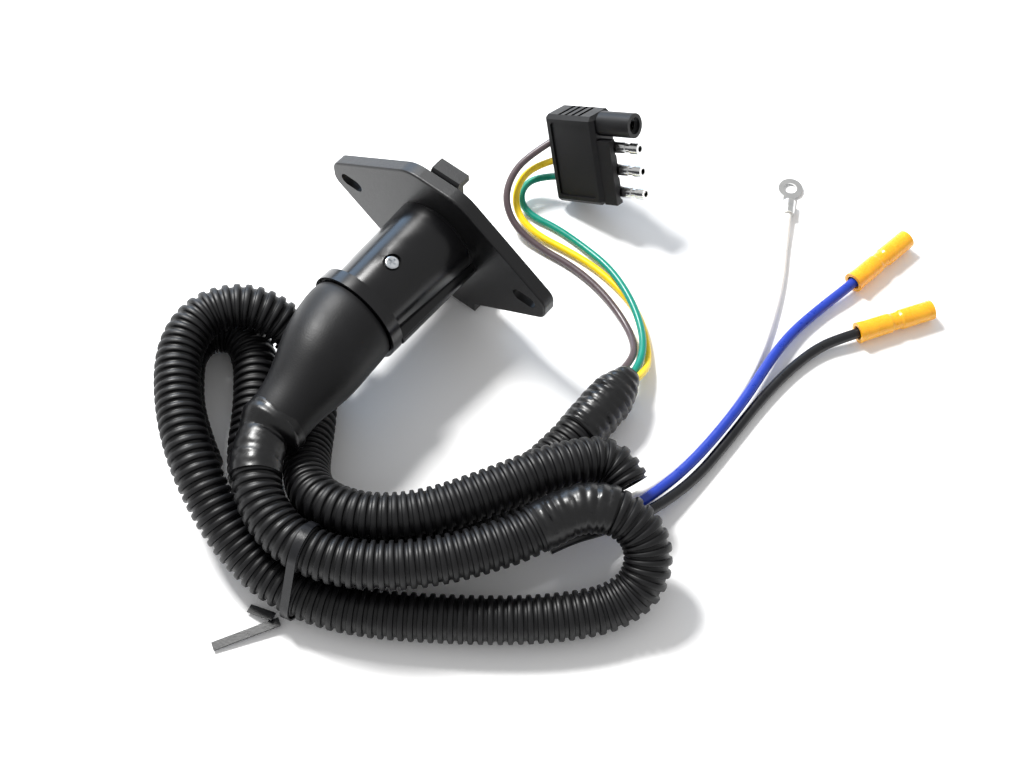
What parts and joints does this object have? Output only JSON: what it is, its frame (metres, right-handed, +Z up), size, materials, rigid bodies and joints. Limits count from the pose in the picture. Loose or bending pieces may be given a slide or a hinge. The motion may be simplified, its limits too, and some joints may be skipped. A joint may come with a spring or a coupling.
{
  "type": "trailer wiring connector",
  "caption": "Round trailer wiring socket with sprung lid and slotted flange, rubber rear boot, coiled corrugated loom, flat plug on a branch and loose power leads.",
  "frame": {"origin": "on the surface the connector rests on, under the middle of the socket, measured from the boot's narrow end to the front of the hinge", "axes": "+Z up from the resting surface, +Y along the socket's axis out of its lidded mouth, +X to the flange's left-hand slot seen from behind the mouth looking out"},
  "size_m": [0.2231, 0.3021, 0.0665],
  "materials": {
    "housing_black": "moulded glass-filled nylon, satin",
    "insert_black": "moulded phenolic, dull",
    "contact_brass": "turned, lightly tarnished",
    "zinc_steel": "bright zinc plate",
    "spring_steel": "drawn stainless wire",
    "boot_rubber": "moulded, matte",
    "seal_rubber": "cut sponge, matte",
    "wire_black": "extruded vinyl",
    "tape_black": "wound vinyl tape",
    "loom_black": "corrugated polyethylene",
    "lead_brown": "extruded vinyl",
    "lead_yellow": "extruded vinyl",
    "lead_green": "extruded vinyl",
    "lead_white": "extruded vinyl",
    "lead_blue": "extruded vinyl",
    "lead_black": "extruded vinyl",
    "plug_rubber": "moulded soft vinyl, matte",
    "tinned_brass": "bright tin plate",
    "splice_yellow": "moulded nylon, slightly clear",
    "tie_black": "flat vinyl strip"
  },
  "bodies": {
    "socket": {"boot": "boot_rubber", "boot_wires": "wire_black", "branch_tape": "tape_black", "bundle_link": "tape_black", "butt_barrels": "tinned_brass", "butt_sleeve_black": "splice_yellow", "butt_sleeve_blue": "splice_yellow", "conduit_branch": "loom_black", "conduit_main": "loom_black", "contact_1": "contact_brass", "contact_2": "contact_brass", "contact_3": "contact_brass", "contact_4": "contact_brass", "contact_5": "contact_brass", "contact_centre": "contact_brass", "contact_insert": "insert_black", "contact_screws": "zinc_steel", "flat_plug_body": "plug_rubber", "flat_plug_pins": "tinned_brass", "flat_plug_socket": "tinned_brass", "hinge_pin": "zinc_steel", "insert_screw": "zinc_steel", "joint_tape": "tape_black", "lead_black": "lead_black", "lead_blue": "lead_blue", "lead_brown": "lead_brown", "lead_green": "lead_green", "lead_white": "lead_white", "lead_yellow": "lead_yellow", "lid_spring": "spring_steel", "neck_tape": "tape_black", "ring_terminal": "tinned_brass", "socket_housing": "housing_black", "twist_tie": "tie_black"},
    "lid": {"lid": "housing_black", "lid_seal": "seal_rubber"}
  },
  "joints": [
    {"name": "lid_hinge", "type": "hinge", "parent": "socket", "child": "lid", "pos_m": [0, 0.0522, 0.0038], "axis": [-1, 0, 0], "range_deg": [0, 65], "stiffness_Nm_per_rad": 0.02, "springref_deg": -57.3, "deforming": ["lid_spring"]}
  ]
}
